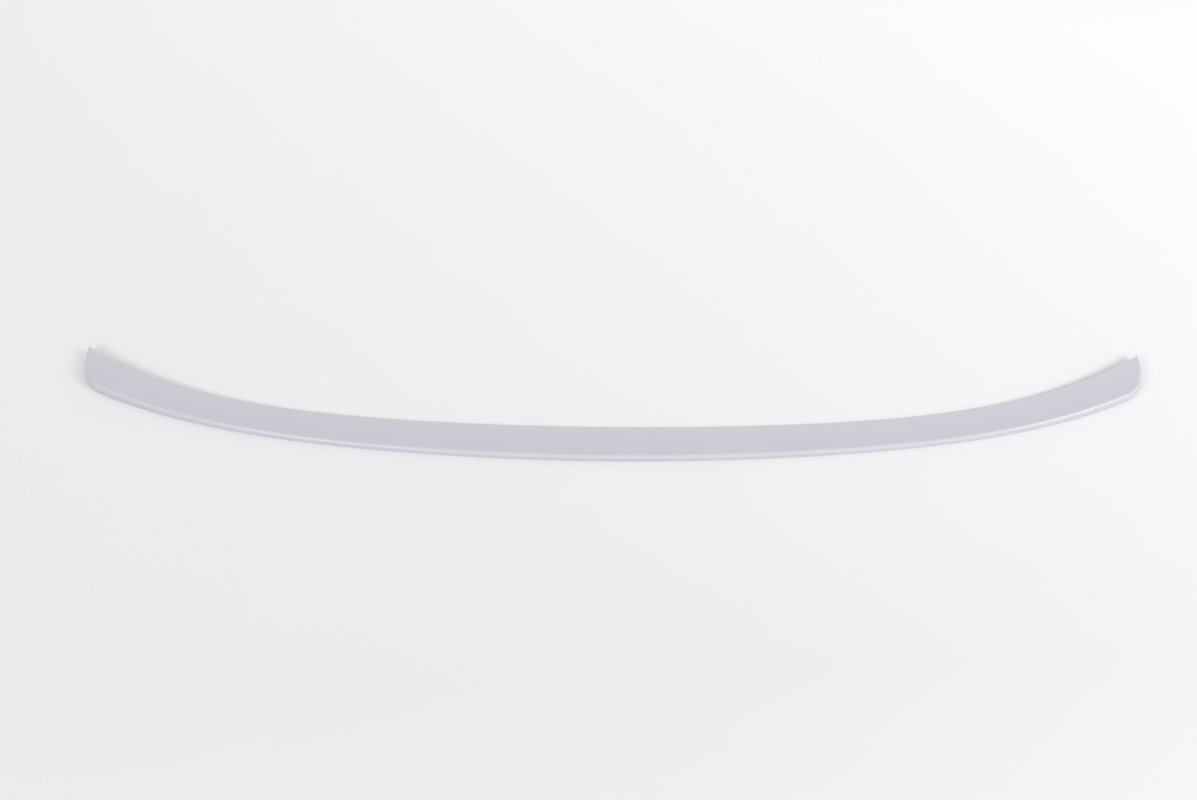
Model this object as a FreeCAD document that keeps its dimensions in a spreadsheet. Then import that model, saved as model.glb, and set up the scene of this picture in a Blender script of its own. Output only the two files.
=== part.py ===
import FreeCAD, Part
import math
import os
import Sketcher

# Slim trunk spoiler, moulded in one piece, that is bonded along the rear edge of a trunk lid.
# +X runs across the car, +Y towards its front and +Z up off the lid.
# The origin is on the centre plane, on the lid, in the middle of the front bonding land.

# Driving dimensions in millimetres, and two angles in degrees: name, value, meaning
SIZES = (
    ("span", 1260, "tip to tip across the car"),
    ("middle_bow", 52.8, "forward sweep of the tips from the long gentle curve"),
    ("tip_sweep", 58.3, "further forward sweep that the ends add"),
    ("chord_middle", 50.5, "front edge to trailing lip at the middle"),
    ("chord_end", 44.8, "front edge to trailing lip at the tips, square to the sweep"),
    ("lip_middle", 10.5, "trailing lip above the lid at the middle"),
    ("lip_end", 6, "trailing lip above the underside at the tips"),
    ("front_edge", 2.4, "thickness of the front edge"),
    ("top_hollow", 1.2, "dip of the top curve below its straight chord"),
    ("undercut", 2, "rear foot in front of the trailing lip"),
    ("lip_radius", 2.4, "rounding of the trailing lip and the ends"),
    ("end_radius", 100, "plan radius of the curved ends"),
    ("end_peak", 10, "outermost point of an end behind its front tip"),
    ("corner_radius", 30, "plan radius of the rear corners"),
    ("corner_start", 20, "angle of the end arc, below its outermost point, at which the rear corner starts"),
    ("corner_end", 46, "angle at which the rear corner runs straight out to the trailing lip"),
    ("flat_length", 660, "length of the underside that lies flat on the lid"),
    ("tip_rise", 9.3, "rise of the front edge from the flat to the tips"),
    ("foot_rise", 1, "rise of the rear foot from the flat to the tips"),
    ("wall", 2.6, "wall of the top over the hollow"),
    ("front_land", 20, "width of the front bonding land"),
    ("rear_land", 3, "width of the rear wall at the lid"),
    ("end_land", 50, "solid length at each tip"),
    ("rib_thickness", 2, "thickness of a cross rib"),
    ("rib_pitch", 62, "spacing of the cross ribs"),
    ("origin_setback", 10, "origin behind the front edge"),
    ("overrun", 10, "how far a cutting shape runs past what it cuts"),
)

# Shape of the curves along the span: powers of the distance from the middle over the half span
SWEEP_POWER = 5
CHORD_POWER = 4
LIP_POWER = 4

# Cross sections from the middle to a tip, closer together towards the tip
SECTIONS_PER_SIDE = 6

# Steps in which the underside rises from its flat to a tip
LID_STEPS = 8

# Angle in degrees, ahead of an end's outermost point, up to which the cut of its arc runs
CUT_ANGLE = 30

doc = FreeCAD.newDocument("trunk_spoiler")


def make_sheet():
    sheet = doc.addObject("Spreadsheet::Sheet", "Dims")
    for row, (name, value, meaning) in enumerate(SIZES, start=1):
        sheet.set(f"A{row}", meaning)
        sheet.set(f"B{row}", str(value))
        sheet.setAlias(f"B{row}", name)
    doc.recompute()
    return sheet


# The curves below are expressions on the sheet. m is the distance from the middle over the half span, 0 to 1.


def front_line(m):
    """Y of the front edge."""
    return f"(Dims.origin_setback + Dims.middle_bow * ({m})^2 + Dims.tip_sweep * ({m})^{SWEEP_POWER})"


def skew(m):
    """Length along Y of one millimetre of width, which is measured square to the swept front edge."""
    gentle = f"2 * Dims.middle_bow * ({m})"
    swept = f"{SWEEP_POWER} * Dims.tip_sweep * ({m})^{SWEEP_POWER - 1}"
    return f"sqrt(1 + (({gentle} + {swept}) / (Dims.span / 2))^2)"


def chord(m):
    """Width from the front edge to the trailing lip."""
    return f"(Dims.chord_end + (Dims.chord_middle - Dims.chord_end) * (1 - ({m})^2)^{CHORD_POWER})"


def lip(m):
    """Height of the trailing lip above the underside."""
    return f"(Dims.lip_middle - (Dims.lip_middle - Dims.lip_end) * ({m})^{LIP_POWER})"


def rise(m):
    """Height of the front edge's underside above the lid: nothing over the flat, then an arc to the tip."""
    radius = "(((Dims.span - Dims.flat_length)^2 / 4 + Dims.tip_rise^2) / (2 * Dims.tip_rise))"
    beyond = f"max(0; ({m}) * Dims.span / 2 - Dims.flat_length / 2)"
    return f"({radius} - sqrt({radius}^2 - {beyond}^2))"


def foot_height(m):
    """Height of the rear foot above the lid plane."""
    return f"({rise(m)} * Dims.foot_rise / Dims.tip_rise)"


def top_height(m, width):
    """Height of the hollow-curved top at a width behind the front edge."""
    share = f"(({width}) / {chord(m)})"
    straight = f"Dims.front_edge + ({lip(m)} - Dims.front_edge) * {share}"
    return f"({rise(m)} + {straight} - 4 * Dims.top_hollow * {share} * (1 - {share}))"


def plane(body, role):
    return next(feature for feature in body.Origin.OriginFeatures if feature.Role == role)


def value(holder, expression):
    return float(holder.evalExpression(expression))


def dimension(sketch, kind, where, expression):
    """Add a constraint whose size follows the sheet."""
    index = sketch.addConstraint(Sketcher.Constraint(kind, *where, value(sketch, expression)))
    sketch.setExpression(f"Constraints[{index}]", expression)


def hollow_arc(start, end, radius):
    """Arc from start to end that turns to the left."""
    half = (end - start) / 2
    across = FreeCAD.Vector(-half.y, half.x, 0).normalize()
    depth = math.sqrt(radius**2 - half.Length**2)
    return Part.Arc(start, start + half - across * (radius - depth), end)


def draw_outline(body, name, role, corners, arcs=None, offset=None):
    """Closed sketch through corners of (across, up) expressions, with edges by index as arcs of a radius."""
    arcs = arcs or {}
    sketch = body.newObject("Sketcher::SketchObject", name)
    sketch.AttachmentSupport = [(plane(body, role), "")]
    sketch.MapMode = "FlatFace"
    if offset:
        sketch.setExpression("AttachmentOffset.Base.z", offset)
    points = [FreeCAD.Vector(value(sketch, across), value(sketch, up), 0) for across, up in corners]
    for edge, start in enumerate(points):
        end = points[(edge + 1) % len(points)]
        if edge in arcs:
            sketch.addGeometry(hollow_arc(start, end, value(sketch, arcs[edge])))
        else:
            sketch.addGeometry(Part.LineSegment(start, end))
    for edge, (across, up) in enumerate(corners):
        following = (edge + 1) % len(corners)
        sketch.addConstraint(Sketcher.Constraint("Coincident", edge, 2, following, 1))
        dimension(sketch, "DistanceX", (-1, 1, edge, 1), across)
        dimension(sketch, "DistanceY", (-1, 1, edge, 1), up)
    for edge, radius in arcs.items():
        dimension(sketch, "Radius", (edge,), radius)
    return sketch


def loft(body, name, sketches):
    feature = body.newObject("PartDesign::AdditiveLoft", name)
    feature.Profile = sketches[0]
    feature.Sections = sketches[1:]
    doc.recompute()
    return feature


def round_edges(body, name, edges, radius):
    """Fillet the numbered edges of the body's last feature."""
    feature = body.newObject("PartDesign::Fillet", name)
    feature.Base = (feature.BaseFeature, [f"Edge{number}" for number in edges])
    feature.setExpression("Radius", radius)
    doc.recompute()
    return feature


def stations():
    """Signed distances from the middle over the half length of a loft, tip to tip."""
    steps = range(-SECTIONS_PER_SIDE, SECTIONS_PER_SIDE + 1)
    return [math.sin(math.pi / 2 * step / SECTIONS_PER_SIDE) for step in steps]


def blade_section(body, index, place):
    """Section of the blade at a station: top, front edge, a bottom below the lid, undercut rear face."""
    m = f"({abs(place)} * (1 + 2 * Dims.overrun / Dims.span))"
    front = front_line(m)
    rear = f"({front} - {chord(m)} * {skew(m)})"
    lip_top = top_height(m, chord(m))
    nose_top = top_height(m, "0")
    depth = "(-Dims.overrun)"
    foot = f"({rear} + Dims.undercut * ({lip_top} - {depth}) / ({lip_top} - {foot_height(m)}))"
    length = f"sqrt(({front} - {rear})^2 + ({lip_top} - {nose_top})^2)"
    hollow_radius = f"({length}^2 / (8 * Dims.top_hollow) + Dims.top_hollow / 2)"
    corners = [(rear, lip_top), (front, nose_top), (front, depth), (foot, depth)]
    offset = f"{place} * (Dims.span / 2 + Dims.overrun)"
    return draw_outline(body, f"BladeSection{index}", "YZ_Plane", corners, {0: hollow_radius}, offset)


def lid_section(body, index, place):
    """Section of the cut below, at a distance from the middle: its top runs from rear foot to front edge."""
    m = f"({place} / (Dims.span / 2))"
    front = front_line(m)
    foot = f"({front} - {chord(m)} * {skew(m)} + Dims.undercut)"
    slope = f"(({rise(m)} - {foot_height(m)}) / ({front} - {foot}))"
    far_rear = "(Dims.origin_setback - Dims.chord_middle - Dims.overrun)"
    far_front = f"({front_line(1)} + 2 * Dims.overrun)"
    depth = "(-4 * Dims.overrun)"
    corners = [
        (far_rear, f"({foot_height(m)} + {slope} * ({far_rear} - {foot}))"),
        (far_front, f"({foot_height(m)} + {slope} * ({far_front} - {foot}))"),
        (far_front, depth),
        (far_rear, depth),
    ]
    side = "" if index > 0 else "-"
    return draw_outline(body, f"LidSection{LID_STEPS + index}", "YZ_Plane", corners, offset=f"{side}{place}")


def trim_to_lid(body):
    """Cut the blade from below: flat over the middle, then rising to the tips, most at the front edge."""
    flat_end = "Dims.flat_length / 2"
    side = "(Dims.span / 2 + 2 * Dims.overrun)"
    places = [f"({flat_end} + ({side} - {flat_end}) * {step / LID_STEPS})" for step in range(LID_STEPS + 1)]
    sections = [lid_section(body, -1 - step, place) for step, place in reversed(list(enumerate(places)))]
    sections += [lid_section(body, 1 + step, place) for step, place in enumerate(places)]
    feature = body.newObject("PartDesign::SubtractiveLoft", "LidTrim")
    feature.Profile = sections[0]
    feature.Sections = sections[1:]
    feature.Ruled = True
    doc.recompute()


def end_outline():
    """Corners of the cut at the right end: a run in from behind, the rear corner's arc, the end's arc."""
    arc_x = "(Dims.span / 2 - Dims.end_radius)"
    arc_y = f"({front_line(1)} - Dims.end_peak)"
    inset = "(Dims.end_radius - Dims.corner_radius)"
    corner_x = f"({arc_x} + {inset} * cos(Dims.corner_start))"
    corner_y = f"({arc_y} - {inset} * sin(Dims.corner_start))"
    out_x = f"({corner_x} + Dims.corner_radius * cos(Dims.corner_end))"
    out_y = f"({corner_y} - Dims.corner_radius * sin(Dims.corner_end))"
    start_x = f"({arc_x} + Dims.end_radius * cos(Dims.corner_start))"
    start_y = f"({arc_y} - Dims.end_radius * sin(Dims.corner_start))"
    front_x = f"({arc_x} + Dims.end_radius * cos({CUT_ANGLE}))"
    front_y = f"({arc_y} + Dims.end_radius * sin({CUT_ANGLE}))"
    side_x = "(Dims.span / 2 + 2 * Dims.overrun)"
    run = "(Dims.chord_middle + Dims.overrun)"
    rear_x = f"({out_x} - {run} * sin(Dims.corner_end))"
    rear_y = f"({out_y} - {run} * cos(Dims.corner_end))"
    return [
        (rear_x, rear_y),
        (out_x, out_y),
        (start_x, start_y),
        (front_x, front_y),
        (side_x, front_y),
        (side_x, rear_y),
    ]


def trim_ends(body):
    """Cut both ends in plan to bulging arcs with rounded rear corners."""
    right = end_outline()
    left = [(f"-{across}", up) for across, up in (right[3], right[2], right[1], right[0], right[5], right[4])]
    sides = (
        ("Right", right, {1: "Dims.corner_radius", 2: "Dims.end_radius"}),
        ("Left", left, {0: "Dims.end_radius", 1: "Dims.corner_radius"}),
    )
    for side, corners, arcs in sides:
        feature = body.newObject("PartDesign::Pocket", f"{side}EndTrim")
        feature.Profile = draw_outline(body, f"{side}EndLine", "XY_Plane", corners, arcs)
        feature.Type = "ThroughAll"
        feature.SideType = "Symmetric"
        doc.recompute()


def lip_edges(shape):
    """Numbers of the edges round the top face, which is the largest, apart from the front edge."""
    top = max(shape.Faces, key=lambda face: face.Area)
    numbered = enumerate(shape.Edges, start=1)
    around = [(number, edge) for number, edge in numbered if any(edge.isSame(own) for own in top.Edges)]
    long_edges = sorted(around, key=lambda item: item[1].Length)[-2:]
    front = max(long_edges, key=lambda item: item[1].CenterOfMass.y)[0]
    return [number for number, _ in around if number != front]


def make_blade():
    body = doc.addObject("PartDesign::Body", "Blade")
    sections = [blade_section(body, index, place) for index, place in enumerate(stations())]
    loft(body, "BladeLoft", sections)
    trim_to_lid(body)
    trim_ends(body)
    round_edges(body, "LipRounding", lip_edges(body.Tip.Shape), "Dims.lip_radius")
    return body


def core_section(body, index, place):
    """Section of the hollow at a station: under the top wall, between the front land and the rear wall."""
    m = f"({abs(place)} * (1 - 2 * Dims.end_land / Dims.span))"
    front_width = "Dims.front_land"
    rear_width = f"({chord(m)} - Dims.undercut - Dims.rear_land)"
    front = f"({front_line(m)} - {front_width} * {skew(m)})"
    rear = f"({front_line(m)} - {rear_width} * {skew(m)})"
    roof_front = f"({top_height(m, front_width)} - Dims.wall)"
    roof_rear = f"({top_height(m, rear_width)} - Dims.wall)"
    depth = "(-Dims.overrun)"
    corners = [(rear, roof_rear), (front, roof_front), (front, depth), (rear, depth)]
    offset = f"{place} * (Dims.span / 2 - Dims.end_land)"
    return draw_outline(body, f"CoreSection{index}", "YZ_Plane", corners, offset=offset)


def make_core():
    """The space under the blade, cut into bays by slots where the cross ribs stand."""
    body = doc.addObject("PartDesign::Body", "Core")
    sections = [core_section(body, index, place) for index, place in enumerate(stations())]
    loft(body, "CoreLoft", sections)
    count = "floor((Dims.span - 2 * Dims.end_land) / Dims.rib_pitch)"
    first = f"(-({count} - 1) * Dims.rib_pitch / 2)"
    rear = "(Dims.origin_setback - Dims.chord_middle - Dims.overrun)"
    front = f"({front_line(1)} + Dims.overrun)"
    left = f"({first} - Dims.rib_thickness / 2)"
    right = f"({first} + Dims.rib_thickness / 2)"
    corners = [(left, rear), (right, rear), (right, front), (left, front)]
    slot = body.newObject("PartDesign::Pocket", "RibSlot")
    slot.Profile = draw_outline(body, "RibSlotOutline", "XY_Plane", corners)
    slot.Type = "ThroughAll"
    slot.SideType = "Symmetric"
    doc.recompute()
    ribs = body.newObject("PartDesign::LinearPattern", "RibSlots")
    ribs.Originals = [slot]
    ribs.Direction = (next(axis for axis in body.Origin.OriginFeatures if axis.Role == "X_Axis"), [""])
    ribs.Mode = "Spacing"
    ribs.setExpression("Offset", "Dims.rib_pitch")
    ribs.setExpression("Occurrences", count)
    body.Tip = ribs
    doc.recompute()
    return body


def make_spoiler(blade, core):
    spoiler = doc.addObject("Part::Cut", "Spoiler")
    spoiler.Label = "spoiler"
    spoiler.Base = blade
    spoiler.Tool = core
    doc.recompute()
    return spoiler


def check(parts):
    for item in doc.Objects:
        if {"Invalid", "Error"} & set(item.State):
            raise RuntimeError(f"{item.Label} failed: {item.State}")
    for part in parts:
        if part.Shape.isNull() or not part.Shape.isValid() or len(part.Shape.Solids) != 1:
            raise RuntimeError(f"{part.Label} is not one valid solid")


def main():
    make_sheet()
    parts = [make_spoiler(make_blade(), make_core())]
    check(parts)
    os.makedirs("parts", exist_ok=True)
    for part in parts:
        part.Shape.exportStep(f"parts/{part.Label}.step")
        print(part.Label, round(part.Shape.Volume))


main()
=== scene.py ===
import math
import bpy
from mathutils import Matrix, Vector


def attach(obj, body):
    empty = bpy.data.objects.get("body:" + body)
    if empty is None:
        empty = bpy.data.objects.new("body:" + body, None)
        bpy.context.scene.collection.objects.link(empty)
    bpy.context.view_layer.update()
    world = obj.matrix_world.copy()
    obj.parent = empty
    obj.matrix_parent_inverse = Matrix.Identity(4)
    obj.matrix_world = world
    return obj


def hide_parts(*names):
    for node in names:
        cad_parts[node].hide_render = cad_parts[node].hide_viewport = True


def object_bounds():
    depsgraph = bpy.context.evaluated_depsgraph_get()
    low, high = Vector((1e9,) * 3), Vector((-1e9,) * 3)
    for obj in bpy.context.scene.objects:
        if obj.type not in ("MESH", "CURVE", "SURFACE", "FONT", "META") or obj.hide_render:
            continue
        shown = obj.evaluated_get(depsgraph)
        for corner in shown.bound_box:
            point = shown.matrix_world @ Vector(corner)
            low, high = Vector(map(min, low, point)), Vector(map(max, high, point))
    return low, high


bl_info = {
    "name": "Trunk Spoiler",
    "version": (1, 0, 0),
    "blender": (4, 5, 0),
    "location": "View3D > Sidebar > Spoiler",
    "description": "Models a primed lip spoiler over its CAD frame and a plain studio to show it in",
    "category": "Object",
}

import bmesh
import bpy
from mathutils import Vector

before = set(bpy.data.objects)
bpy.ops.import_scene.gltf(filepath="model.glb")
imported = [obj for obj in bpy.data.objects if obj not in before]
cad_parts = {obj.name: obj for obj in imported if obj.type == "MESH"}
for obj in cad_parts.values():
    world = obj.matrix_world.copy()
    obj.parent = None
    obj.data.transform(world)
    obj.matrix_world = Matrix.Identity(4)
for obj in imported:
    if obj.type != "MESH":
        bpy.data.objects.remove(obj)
CAD_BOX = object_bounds()

MM = 0.001

# Shape of the curves along the span: powers of the distance from the middle over the half span
SWEEP_POWER = 5
CHORD_POWER = 4
LIP_POWER = 4

# A cross section's corners stand at these shares of the chord, from the front edge back.
# They are on three layers: the top, the underside, and the roof of the hollow above the underside.
SHARES = (0, 0.1, 0.2, 0.3, 0.4, 0.5, 0.6, 0.7, 0.78, 0.86, 1)
COUNT = len(SHARES)
NOSE, LIP = 0, COUNT - 1
FRONT_MOUTH, REAR_MOUTH = 4, COUNT - 2
TOP, UNDER, ROOF = range(3)

# Halvings of the stretch in which a line along the span meets the outline of an end
HALVINGS = 24

# Segments of a rounded edge, and the turn from which an edge is shaded sharp
ROUNDING_SEGMENTS = 5
SHARP_TURN = math.radians(35)

# Noise of the primer and of the floor, each as its scale and detail
CLOUDS = (11, 3)
GRAIN = (1400, 2)
PEEL = (260, 1)
MOTTLE = (7, 4)
TOOTH = (500, 2)

# How far the primer's tone strays where it is full and thin, and the weights of clouds and grain in it
FULL_STRAY = 0.035
THIN_STRAY = 0.07
CLOUD_TONE = 0.9
GRAIN_TONE = 0.5

# What clouds, grain and thin spots add to the primer's roughness
CLOUD_ROUGHNESS = 0.1
GRAIN_ROUGHNESS = 0.08
THIN_ROUGHNESS = 0.12

# The primer's bump, and the grain's share beside the orange peel
PRIMER_BUMP = 0.3
PRIMER_BUMP_DEPTH = 0.06 * MM
GRAIN_BUMP = 0.4

# The floor's half width in metres and its squares along a side
FLOOR_REACH = 12
FLOOR_SQUARES = 8

# Painted light: the floor's colour is lighter ahead and to the right, where more light falls.
# Share of the floor's far tone at the origin, and what each metre ahead adds to it.
# Each metre to the right adds the twist to that climb.
PAINTED_LIGHT_SHARE = 0.27
PAINTED_LIGHT_CLIMB = 0.83
PAINTED_LIGHT_TWIST = 0.19

# Painted light: all round, the floor grows to its far tone from this distance in metres, by this share a
# metre, so that it stays light where the lamps' light falls off
PAINTED_LIGHT_ROUND = 2
PAINTED_LIGHT_FADE = 0.6

# The floor's finish: what mottle adds to its tone and tooth to its roughness, its gloss and its bump
MOTTLE_TONE = 0.04
FLOOR_ROUGHNESS = 0.6
TOOTH_ROUGHNESS = 0.1
FLOOR_GLOSS = 0.02
FLOOR_BUMP = 0.15
FLOOR_BUMP_DEPTH = 0.1 * MM


def length(name, millimetres, description):
    return bpy.props.FloatProperty(
        name=name, description=description, default=millimetres * MM, min=0, precision=4, unit="LENGTH"
    )


def angle(name, degrees, description):
    return bpy.props.FloatProperty(
        name=name, description=description, default=math.radians(degrees), subtype="ANGLE"
    )


def colour(name, default, description):
    return bpy.props.FloatVectorProperty(
        name=name, description=description, default=default, min=0, max=1, size=3, subtype="COLOR"
    )


def factor(name, default, description):
    return bpy.props.FloatProperty(
        name=name, description=description, default=default, min=0, max=1, subtype="FACTOR"
    )


def power(name, watts, description):
    return bpy.props.FloatProperty(name=name, description=description, default=watts, min=0, unit="POWER")


def position(name, metres, description):
    return bpy.props.FloatVectorProperty(
        name=name, description=description, default=metres, size=3, subtype="XYZ", unit="LENGTH"
    )


class BladeSizes(bpy.types.PropertyGroup):
    """Sizes of the blade: those of the CAD solid, with a softer lip and the small roundings added"""

    span: length("Span", (CAD_BOX[1].x - CAD_BOX[0].x) / MM, "Tip to tip across the car")
    middle_bow: length("Middle bow", 52.8, "Forward sweep of the tips from the long gentle curve")
    tip_sweep: length("Tip sweep", 58.3, "Further forward sweep that the ends add")
    chord_middle: length("Middle chord", 50.5, "Front edge to trailing lip at the middle")
    chord_end: length("End chord", 44.8, "Front edge to trailing lip at the tips, square to the sweep")
    lip_middle: length("Middle lip", 10.5, "Trailing lip above the lid at the middle")
    lip_end: length("End lip", 5.85, "Trailing lip above the underside at the tips")
    front_edge: length("Front edge", 2.4, "Thickness of the front edge")
    top_hollow: length("Top hollow", 1.2, "Dip of the top curve below its straight chord")
    undercut: length("Undercut", 2, "Rear foot in front of the trailing lip")
    lip_radius: length("Lip radius", 3.2, "Rounding of the trailing lip")
    end_roll: length("End roll", 1.2, "Extra rounding of the ends, halfway from the front tip to the lip")
    nose_radius: length("Nose radius", 0.7, "Rounding of the front edge and its tips")
    edge_break: length("Edge break", 0.3, "Softening of the edges underneath")
    end_radius: length("End radius", 100, "Plan radius of the curved ends")
    end_peak: length("End peak", 10, "Outermost point of an end behind its front tip")
    corner_radius: length("Corner radius", 30, "Plan radius of the rear corners")
    corner_start: angle("Corner start", 20, "Angle of the end's arc at which the rear corner starts")
    corner_end: angle("Corner end", 46, "Angle at which the rear corner runs straight out to the lip")
    flat_length: length("Flat length", 660, "Length of the underside that lies flat on the lid")
    tip_rise: length("Tip rise", 9.3, "Rise of the front edge from the flat to the tips")
    foot_rise: length("Foot rise", 1, "Rise of the rear foot from the flat to the tips")
    wall: length("Wall", 2.6, "Wall of the top over the hollow")
    front_land: length("Front land", 20, "Width of the front bonding land")
    rear_land: length("Rear land", 3, "Width of the rear wall at the lid")
    end_land: length("End land", 50, "Solid length at each tip")
    rib_thickness: length("Rib thickness", 2, "Thickness of a cross rib")
    rib_pitch: length("Rib pitch", 62, "Spacing of the cross ribs")
    origin_setback: length("Origin setback", 10, "Origin behind the front edge")
    station_step: length("Station step", 10, "Longest step between cross sections")


class PrimerFinish(bpy.types.PropertyGroup):
    """Finish of the primed plastic"""

    primer: colour("Primer", (0.564, 0.57, 0.617), "Light grey primer on the outside")
    thin_primer: colour("Thin primer", (0.47, 0.475, 0.5), "Primer that hardly reaches the hollow")
    roughness: factor("Roughness", 0.2, "Satin of the primer")


class StudioLook(bpy.types.PropertyGroup):
    """Floor, light and camera"""

    # The floor's two tones are the ends of its painted light: darker near the camera, lighter far beyond
    # the blade.
    near_floor_painted_shade: colour("Near floor", (0.745, 0.733, 0.743), "Pale floor below the camera")
    far_floor_painted_light: colour("Far floor", (0.991, 0.975, 0.989), "Paler floor far beyond the blade")
    backdrop: factor("Backdrop", 0.92, "Brightness of what is seen beyond the floor")
    ambient: factor("Ambient", 0.78, "Even light from all round")
    left_power: power("Left lamp", 15, "Soft lamp beside the camera at the left")
    left_size: length("Left lamp size", 900, "Width of the left lamp")
    left_place: position("Left lamp place", (-1.3, -1.85, 1.4), "Where the left lamp stands")
    right_power: power("Right lamp", 28, "Soft lamp beside the camera at the right")
    right_size: length("Right lamp size", 1000, "Width of the right lamp")
    right_place: position("Right lamp place", (2, -1.2, 1.45), "Where the right lamp stands")
    camera_height: length("Camera height", 1484.8, "Camera above the floor")
    camera_setback: length("Camera setback", 1192.9, "Camera behind the origin")
    camera_left: length("Camera left", 1.3, "Camera to the left of the centre plane")
    camera_tilt: angle("Camera tilt", 50, "Camera's look below the horizon")
    camera_turn: angle("Camera turn", 0.653, "Camera's turn to the left")
    view_width: angle("View width", 40, "Angle across the picture")


# Curves of the blade. m is the distance from the middle over the half span, 0 to 1.


def hump(share):
    """A parabola: nothing at 0 and at 1, and 1 halfway."""
    return 4 * share * (1 - share)


def front_line(sizes, m):
    """Y of the front edge."""
    return sizes.origin_setback + sizes.middle_bow * m**2 + sizes.tip_sweep * m**SWEEP_POWER


def skew(sizes, m):
    """Length along Y of one unit of width, which is measured square to the swept front edge."""
    climb = 2 * sizes.middle_bow * m + SWEEP_POWER * sizes.tip_sweep * m ** (SWEEP_POWER - 1)
    return math.hypot(1, climb / (sizes.span / 2))


def chord(sizes, m):
    """Width from the front edge to the trailing lip."""
    return sizes.chord_end + (sizes.chord_middle - sizes.chord_end) * (1 - m**2) ** CHORD_POWER


def lip_height(sizes, m):
    """Height of the trailing lip above the underside."""
    return sizes.lip_middle - (sizes.lip_middle - sizes.lip_end) * m**LIP_POWER


def rise(sizes, m):
    """Height of the front edge's underside above the lid: nothing over the flat, then an arc to the tip."""
    run = (sizes.span - sizes.flat_length) / 2
    radius = (run**2 + sizes.tip_rise**2) / (2 * sizes.tip_rise)
    beyond = max(0, m * sizes.span / 2 - sizes.flat_length / 2)
    return radius - math.sqrt(radius**2 - beyond**2)


def rear_foot(sizes, m):
    """Width of the rear foot behind the front edge."""
    return chord(sizes, m) - sizes.undercut / skew(sizes, m)


def under_height(sizes, m, width):
    """Height of the underside at a width behind the front edge. It rises less at the rear foot."""
    share = width / rear_foot(sizes, m)
    return rise(sizes, m) * (1 - share * (1 - sizes.foot_rise / sizes.tip_rise))


def top_height(sizes, m, width):
    """Height of the hollow-curved top at a width behind the front edge."""
    share = width / chord(sizes, m)
    straight = sizes.front_edge + (lip_height(sizes, m) - sizes.front_edge) * share
    return rise(sizes, m) + straight - sizes.top_hollow * hump(share)


def end_reach(sizes, y):
    """X of the right end's outline: the bulging end, the rear corner, then a straight run to the lip."""
    arc_x = sizes.span / 2 - sizes.end_radius
    arc_y = front_line(sizes, 1) - sizes.end_peak
    if y > arc_y - sizes.end_radius * math.sin(sizes.corner_start):
        return arc_x + math.sqrt(sizes.end_radius**2 - (y - arc_y) ** 2)
    inset = sizes.end_radius - sizes.corner_radius
    corner_x = arc_x + inset * math.cos(sizes.corner_start)
    corner_y = arc_y - inset * math.sin(sizes.corner_start)
    out_y = corner_y - sizes.corner_radius * math.sin(sizes.corner_end)
    if y > out_y:
        return corner_x + math.sqrt(sizes.corner_radius**2 - (y - corner_y) ** 2)
    out_x = corner_x + sizes.corner_radius * math.cos(sizes.corner_end)
    return out_x - (out_y - y) * math.tan(sizes.corner_end)


def hollow_end(sizes):
    """X where the hollow stops short of the right tip."""
    return sizes.span / 2 - sizes.end_land


def corner_width(sizes, layer, index, m):
    """Width of a section corner behind the front edge."""
    wide = chord(sizes, m)
    share = SHARES[index]
    if layer == TOP:
        return share * wide
    rear_mouth = wide - sizes.undercut - sizes.rear_land
    stops = (0, SHARES[FRONT_MOUTH], SHARES[REAR_MOUTH], 1)
    widths = (0, sizes.front_land, rear_mouth, rear_foot(sizes, m))
    step = (index >= FRONT_MOUTH) + (index >= REAR_MOUTH)
    along = (share - stops[step]) / (stops[step + 1] - stops[step])
    return widths[step] + (widths[step + 1] - widths[step]) * along


def corner_y(sizes, layer, index, x):
    m = x / (sizes.span / 2)
    return front_line(sizes, m) - corner_width(sizes, layer, index, m) * skew(sizes, m)


def tip_x(sizes, layer, index):
    """X where a section corner's line along the span meets the outline of the right end."""
    low, high = hollow_end(sizes), sizes.span / 2
    for _ in range(HALVINGS):
        middle = (low + high) / 2
        if middle < end_reach(sizes, corner_y(sizes, layer, index, middle)):
            low = middle
        else:
            high = middle
    return low


def corner_point(sizes, layer, index, station):
    """Place of a section corner. Past the hollow the stations close up, and the last is the outline."""
    start = hollow_end(sizes)
    x = abs(station)
    if x > start:
        x = start + (tip_x(sizes, layer, index) - start) * (x - start) / (sizes.span / 2 - start)
    m = x / (sizes.span / 2)
    width = corner_width(sizes, layer, index, m)
    z = under_height(sizes, m, width) if layer == UNDER else top_height(sizes, m, width)
    if layer == ROOF:
        z -= sizes.wall
    return Vector((math.copysign(x, station), corner_y(sizes, layer, index, x), z))


def bays(sizes):
    """Start and end of each hollow bay between the cross ribs."""
    ribs = math.floor(2 * hollow_end(sizes) / sizes.rib_pitch)
    centres = [(index - (ribs - 1) / 2) * sizes.rib_pitch for index in range(ribs)]
    half = sizes.rib_thickness / 2
    starts = [-hollow_end(sizes)] + [centre + half for centre in centres]
    ends = [centre - half for centre in centres] + [hollow_end(sizes)]
    return list(zip(starts, ends))


def stations(sizes):
    """Places of the cross sections along the span: the ends of every bay and rib, and steps between."""
    stops = [-sizes.span / 2]
    stops += [place for bay in bays(sizes) for place in bay]
    stops.append(sizes.span / 2)
    places = [stops[0]]
    for start, end in zip(stops, stops[1:]):
        steps = math.ceil((end - start) / sizes.station_step)
        places += [start + (end - start) * step / steps for step in range(1, steps + 1)]
    return places


def of_kind(geometry, kind):
    return [element for element in geometry if isinstance(element, kind)]


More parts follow.
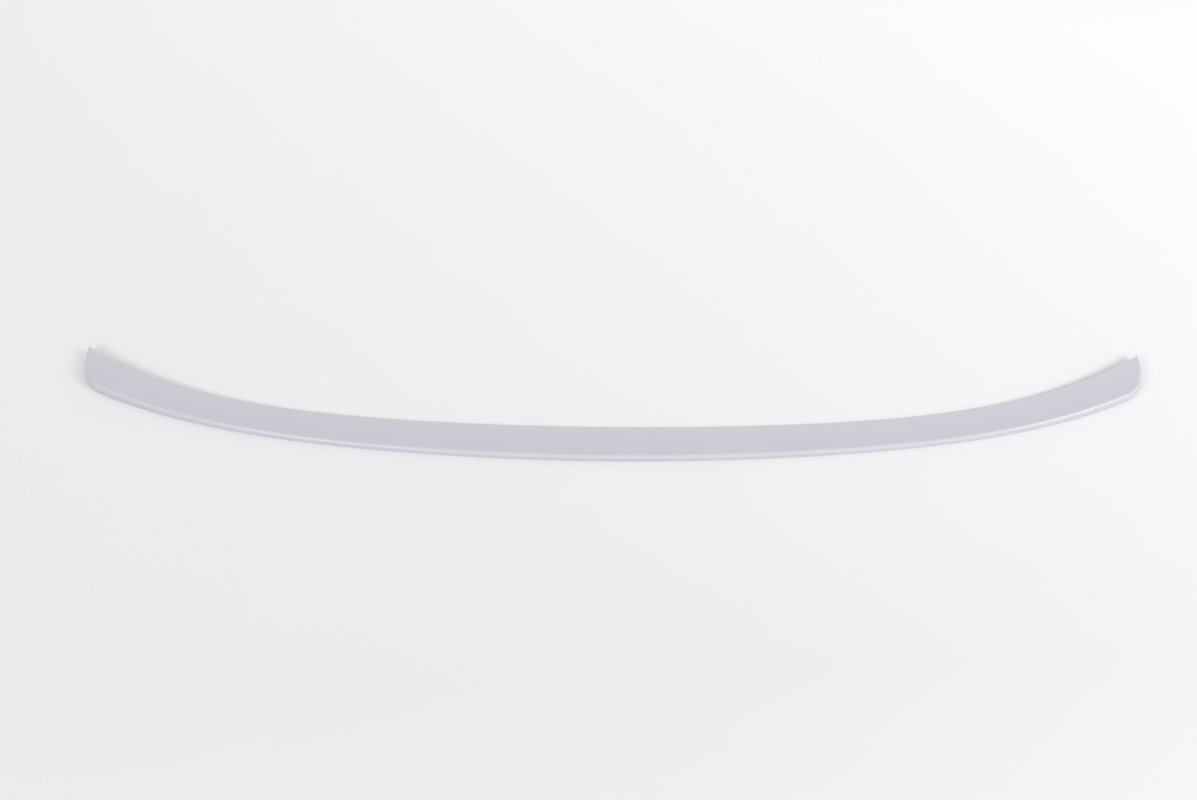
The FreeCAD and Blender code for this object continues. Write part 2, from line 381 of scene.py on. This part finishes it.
class BladeModel:
    """A bmesh of the blade whose vertices know their layer, corner of the section and station."""

    def __init__(self, sizes):
        self.sizes = sizes
        self.bm = bmesh.new()
        self.layer = self.bm.verts.layers.int.new("layer")
        self.index = self.bm.verts.layers.int.new("index")
        self.station = self.bm.verts.layers.float.new("station")

    def layers(self, element):
        return {vert[self.layer] for vert in element.verts}

    def indices(self, element):
        return {vert[self.index] for vert in element.verts}

    def at_end(self, element):
        reach = self.sizes.span / 2 - MM
        return all(abs(vert[self.station]) > reach for vert in element.verts)

    def set_shape(self):
        """Move every vertex to the place of its section corner."""
        for vert in self.bm.verts:
            vert.co = corner_point(self.sizes, vert[self.layer], vert[self.index], vert[self.station])

    def extrude(self):
        """Extrude the ring of section corners from tip to tip, and close the two ends."""
        places = stations(self.sizes)
        corners = [(TOP, index) for index in range(COUNT)]
        corners += [(UNDER, index) for index in reversed(range(COUNT))]
        ring = [self.bm.verts.new() for _ in corners]
        for vert, (layer, index) in zip(ring, corners):
            vert[self.layer], vert[self.index], vert[self.station] = layer, index, places[0]
        edges = [self.bm.edges.new(pair) for pair in zip(ring, ring[1:] + ring[:1])]
        for place in places[1:]:
            grown = bmesh.ops.extrude_edge_only(self.bm, edges=edges)["geom"]
            new_ring = set(of_kind(grown, bmesh.types.BMVert))
            for vert in new_ring:
                vert[self.station] = place
            edges = [edge for edge in of_kind(grown, bmesh.types.BMEdge) if set(edge.verts) <= new_ring]
        self.set_shape()
        for side in (-1, 1):
            rim = [
                edge
                for edge in self.bm.edges
                if self.at_end(edge) and edge.verts[0].co.x * side > 0 and len(self.layers(edge)) == 1
            ]
            bmesh.ops.bridge_loops(self.bm, edges=rim)

    def sink_bays(self):
        """Push the underside up between the ribs, to the roof of each bay."""
        mouth = set(range(FRONT_MOUTH, REAR_MOUTH + 1))
        for start, end in bays(self.sizes):
            patch = [
                face
                for face in self.bm.faces
                if self.layers(face) == {UNDER}
                and self.indices(face) <= mouth
                and start < face.calc_center_median().x < end
            ]
            raised = bmesh.ops.extrude_face_region(self.bm, geom=patch)["geom"]
            for vert in of_kind(raised, bmesh.types.BMVert):
                vert[self.layer] = ROOF
            bmesh.ops.delete(self.bm, geom=patch, context="FACES")
        self.set_shape()

    def edge_radius(self, edge):
        """Rounding of an edge, or nothing."""
        sizes, layers, indices = self.sizes, self.layers(edge), self.indices(edge)
        across = len(indices) == 2
        if layers == {TOP} and across and self.at_end(edge):
            share = sum(SHARES[index] for index in indices) / 2
            plain = sizes.nose_radius + (sizes.lip_radius - sizes.nose_radius) * share
            return plain + sizes.end_roll * hump(share)
        if layers == {TOP} and indices == {LIP}:
            return sizes.lip_radius
        if indices == {NOSE} and (layers == {TOP} or layers == {TOP, UNDER} and self.at_end(edge)):
            return sizes.nose_radius
        if layers == {UNDER}:
            outside = indices in ({NOSE}, {LIP}) or across and self.at_end(edge)
            beside_hollow = any(ROOF in self.layers(face) for face in edge.link_faces)
            return sizes.edge_break if outside or beside_hollow else 0
        return 0

    def weigh_edges(self, widest):
        """Give each edge its share of the widest rounding, from its radius and the turn of the surface."""
        weight = self.bm.edges.layers.float.new("bevel_weight_edge")
        self.bm.normal_update()
        for edge in self.bm.edges:
            edge[weight] = 2 * self.edge_radius(edge) * math.sin(edge.calc_face_angle() / 2) / widest

    def mark_primer(self):
        """The spray reaches every surface but the roof of the hollow."""
        reach = self.bm.verts.layers.float.new("primer_reach")
        for vert in self.bm.verts:
            vert[reach] = 0 if vert[self.layer] == ROOF else 1

    def to_mesh(self, name):
        for layer in (self.layer, self.index):
            self.bm.verts.layers.int.remove(layer)
        self.bm.verts.layers.float.remove(self.bm.verts.layers.float["station"])
        for face in self.bm.faces:
            face.smooth = True
        mesh = bpy.data.meshes.new(name)
        self.bm.to_mesh(mesh)
        self.bm.free()
        mesh.set_sharp_from_angle(angle=SHARP_TURN)
        return mesh


def blade_mesh(sizes, widest):
    model = BladeModel(sizes)
    model.extrude()
    model.sink_bays()
    bmesh.ops.recalc_face_normals(model.bm, faces=model.bm.faces)
    model.weigh_edges(widest)
    model.mark_primer()
    return model.to_mesh("blade")


class Term:
    """A node's output in shader maths: arithmetic on it adds Math nodes."""

    def __init__(self, nodes, socket):
        self.nodes = nodes
        self.socket = socket

    def math(self, operation, first, second):
        node = self.nodes.add("ShaderNodeMath", {"operation": operation}, {0: first, 1: second})
        return self.nodes.term(node, 0)

    def __add__(self, other):
        return self.math("ADD", self, other)

    __radd__ = __add__

    def __sub__(self, other):
        return self.math("SUBTRACT", self, other)

    def __rsub__(self, other):
        return self.math("SUBTRACT", other, self)

    def __mul__(self, other):
        return self.math("MULTIPLY", self, other)

    __rmul__ = __mul__

    def at_least(self, other):
        return self.math("MAXIMUM", self, other)


class Nodes:
    """The node tree of a material or the world."""

    def __init__(self, owner):
        owner.use_nodes = True
        self.tree = owner.node_tree
        self.tree.nodes.clear()

    def add(self, kind, settings=None, inputs=None):
        """A node of that type, with its settings and then the values or links of its sockets."""
        node = self.tree.nodes.new(kind)
        for name, value in (settings or {}).items():
            setattr(node, name, value)
        for name, value in (inputs or {}).items():
            if isinstance(value, Term):
                self.tree.links.new(value.socket, node.inputs[name])
            else:
                node.inputs[name].default_value = value
        return node

    def term(self, node, output):
        return Term(self, node.outputs[output])

    def noise(self, place, scale, detail):
        """Noise about zero, from -0.5 to 0.5."""
        node = self.add("ShaderNodeTexNoise", inputs={"Vector": place, "Scale": scale, "Detail": detail})
        return self.term(node, "Fac") - 0.5

    def mix(self, share, first, second):
        """Two colours mixed. A Mix node has them at inputs 6 and 7, and their mix at output 2."""
        node = self.add("ShaderNodeMix", {"data_type": "RGBA"}, {0: share, 6: first, 7: second})
        return self.term(node, 2)


def shade(rgb, level=1):
    """A colour with its alpha, made lighter or darker."""
    return (*(channel * level for channel in rgb), 1)


def strayed(nodes, tone, rgb, stray):
    """A colour that strays to its darker and lighter sides with the tone."""
    return nodes.mix(tone, shade(rgb, 1 - stray), shade(rgb, 1 + stray))


def primer_material(finish):
    """Satin primer with soft clouds, sprayed grain and orange peel, thin where the spray hardly reached."""
    material = bpy.data.materials.new("primed_plastic")
    nodes = Nodes(material)
    place = nodes.term(nodes.add("ShaderNodeTexCoord"), "Object")
    reach = nodes.term(nodes.add("ShaderNodeAttribute", {"attribute_name": "primer_reach"}), "Fac")
    clouds = nodes.noise(place, *CLOUDS)
    grain = nodes.noise(place, *GRAIN)
    peel = nodes.noise(place, *PEEL)
    tone = 0.5 + clouds * CLOUD_TONE + grain * GRAIN_TONE
    sprayed = strayed(nodes, tone, finish.primer, FULL_STRAY)
    thin = strayed(nodes, tone, finish.thin_primer, THIN_STRAY)
    uneven = clouds * CLOUD_ROUGHNESS + grain * GRAIN_ROUGHNESS + (1 - reach) * THIN_ROUGHNESS
    height = peel + grain * GRAIN_BUMP
    bump = nodes.add(
        "ShaderNodeBump", inputs={"Strength": PRIMER_BUMP, "Distance": PRIMER_BUMP_DEPTH, "Height": height}
    )
    surface = nodes.add(
        "ShaderNodeBsdfPrincipled",
        inputs={
            "Base Color": nodes.mix(reach, thin, sprayed),
            "Roughness": finish.roughness + uneven,
            "Normal": nodes.term(bump, "Normal"),
        },
    )
    nodes.add("ShaderNodeOutputMaterial", inputs={"Surface": nodes.term(surface, "BSDF")})
    return material


def floor_material(look):
    """Pale matt board with a faint mottle, and painted light: its colour grows paler ahead and far from the
    blade.
    """
    material = bpy.data.materials.new("pale_floor")
    nodes = Nodes(material)
    place = nodes.term(nodes.add("ShaderNodeTexCoord"), "Object")
    axes = nodes.add("ShaderNodeSeparateXYZ", inputs={"Vector": place})
    across, ahead = nodes.term(axes, "X"), nodes.term(axes, "Y")
    distance = nodes.term(nodes.add("ShaderNodeVectorMath", {"operation": "LENGTH"}, {0: place}), "Value")
    # Painted light: the share of the far, lighter tone climbs ahead, more so to the right, and all round
    # far from the blade.
    share = PAINTED_LIGHT_SHARE + ahead * (PAINTED_LIGHT_CLIMB + across * PAINTED_LIGHT_TWIST)
    share = share.at_least((distance - PAINTED_LIGHT_ROUND) * PAINTED_LIGHT_FADE)
    far = nodes.term(nodes.add("ShaderNodeClamp", inputs={"Value": share}), "Result")
    mottle = nodes.noise(place, *MOTTLE)
    tooth = nodes.noise(place, *TOOTH)
    # The mottle is the board's own; the mix from the near to the far tone is painted light.
    tone = nodes.mix(far + mottle * MOTTLE_TONE, shade(look.near_floor_painted_shade), shade(look.far_floor_painted_light))
    bump = nodes.add(
        "ShaderNodeBump", inputs={"Strength": FLOOR_BUMP, "Distance": FLOOR_BUMP_DEPTH, "Height": tooth}
    )
    surface = nodes.add(
        "ShaderNodeBsdfPrincipled",
        inputs={
            "Base Color": tone,
            "Roughness": FLOOR_ROUGHNESS + tooth * TOOTH_ROUGHNESS,
            "Specular IOR Level": FLOOR_GLOSS,
            "Normal": nodes.term(bump, "Normal"),
        },
    )
    nodes.add("ShaderNodeOutputMaterial", inputs={"Surface": nodes.term(surface, "BSDF")})
    return material


def link(name, data):
    piece = bpy.data.objects.new(name, data)
    bpy.context.scene.collection.objects.link(piece)
    return piece


class SPOILER_OT_blade(bpy.types.Operator):
    """Model the primed blade that stands for the CAD solid"""

    bl_idname = "spoiler.blade"
    bl_label = "Build Blade"
    bl_options = {"REGISTER", "UNDO"}

    def execute(self, context):
        sizes = context.scene.spoiler_sizes
        widest = 2 * (sizes.lip_radius + sizes.end_roll)
        blade = link("spoiler_blade", blade_mesh(sizes, widest))
        blade.data.materials.append(primer_material(context.scene.spoiler_finish))
        rounding = blade.modifiers.new("Rounding", "BEVEL")
        rounding.limit_method = "WEIGHT"
        rounding.offset_type = "WIDTH"
        rounding.width = widest
        rounding.segments = ROUNDING_SEGMENTS
        rounding.use_clamp_overlap = False
        normals = blade.modifiers.new("Normals", "WEIGHTED_NORMAL")
        normals.keep_sharp = True
        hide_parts("spoiler")
        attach(blade, "root")
        return {"FINISHED"}


def make_floor(look):
    bm = bmesh.new()
    bmesh.ops.create_grid(bm, x_segments=FLOOR_SQUARES, y_segments=FLOOR_SQUARES, size=FLOOR_REACH)
    mesh = bpy.data.meshes.new("floor")
    bm.to_mesh(mesh)
    bm.free()
    mesh.materials.append(floor_material(look))
    link("floor", mesh)


def make_lamp(name, watts, size, place):
    """A round soft lamp that points at the origin."""
    lamp = bpy.data.lights.new(name, "AREA")
    lamp.shape = "DISK"
    lamp.size = size
    lamp.energy = watts
    piece = link(name, lamp)
    piece.location = place
    piece.rotation_euler = piece.location.to_track_quat("Z", "Y").to_euler()


def make_camera(look):
    camera = bpy.data.cameras.new("camera")
    camera.angle = look.view_width
    piece = link("camera", camera)
    piece.location = (-look.camera_left, -look.camera_setback, look.camera_height)
    piece.rotation_euler = (math.radians(90) - look.camera_tilt, 0, look.camera_turn)
    bpy.context.scene.camera = piece


def make_world(look):
    """Even light from all round, with a white backdrop beyond the floor for the eye and for reflections."""
    world = bpy.data.worlds.new("studio")
    bpy.context.scene.world = world
    nodes = Nodes(world)
    path = nodes.add("ShaderNodeLightPath")
    rays = ("Is Camera Ray", "Is Glossy Ray", "Is Transmission Ray")
    camera, glossy, transmission = (nodes.term(path, ray) for ray in rays)
    strength = look.ambient + (look.backdrop - look.ambient) * (camera + glossy + transmission)
    background = nodes.add("ShaderNodeBackground", inputs={"Color": (1, 1, 1, 1), "Strength": strength})
    nodes.add("ShaderNodeOutputWorld", inputs={"Surface": nodes.term(background, "Background")})


class SPOILER_OT_stage(bpy.types.Operator):
    """Set up the floor, the lamps and the camera"""

    bl_idname = "spoiler.stage"
    bl_label = "Build Studio"
    bl_options = {"REGISTER", "UNDO"}

    def execute(self, context):
        look = context.scene.spoiler_studio
        make_floor(look)
        make_lamp("left_lamp", look.left_power, look.left_size, look.left_place)
        make_lamp("right_lamp", look.right_power, look.right_size, look.right_place)
        make_camera(look)
        make_world(look)
        context.scene.view_settings.view_transform = "Standard"
        return {"FINISHED"}


class SPOILER_PT_panel(bpy.types.Panel):
    """Sizes, finish and studio of the spoiler"""

    bl_idname = "SPOILER_PT_panel"
    bl_label = "Trunk Spoiler"
    bl_space_type = "VIEW_3D"
    bl_region_type = "UI"
    bl_category = "Spoiler"

    def draw(self, context):
        for title, settings in (
            ("Sizes", context.scene.spoiler_sizes),
            ("Finish", context.scene.spoiler_finish),
            ("Studio", context.scene.spoiler_studio),
        ):
            box = self.layout.box()
            box.label(text=title)
            for name in settings.__annotations__:
                box.prop(settings, name)
        self.layout.operator(SPOILER_OT_blade.bl_idname)
        self.layout.operator(SPOILER_OT_stage.bl_idname)


CLASSES = (BladeSizes, PrimerFinish, StudioLook, SPOILER_OT_blade, SPOILER_OT_stage, SPOILER_PT_panel)


def register():
    for cls in CLASSES:
        bpy.utils.register_class(cls)
    bpy.types.Scene.spoiler_sizes = bpy.props.PointerProperty(type=BladeSizes)
    bpy.types.Scene.spoiler_finish = bpy.props.PointerProperty(type=PrimerFinish)
    bpy.types.Scene.spoiler_studio = bpy.props.PointerProperty(type=StudioLook)


def unregister():
    del bpy.types.Scene.spoiler_studio
    del bpy.types.Scene.spoiler_finish
    del bpy.types.Scene.spoiler_sizes
    for cls in reversed(CLASSES):
        bpy.utils.unregister_class(cls)


def main():
    register()
    bpy.ops.spoiler.blade()
    bpy.ops.spoiler.stage()


if __name__ == "__main__":
    main()
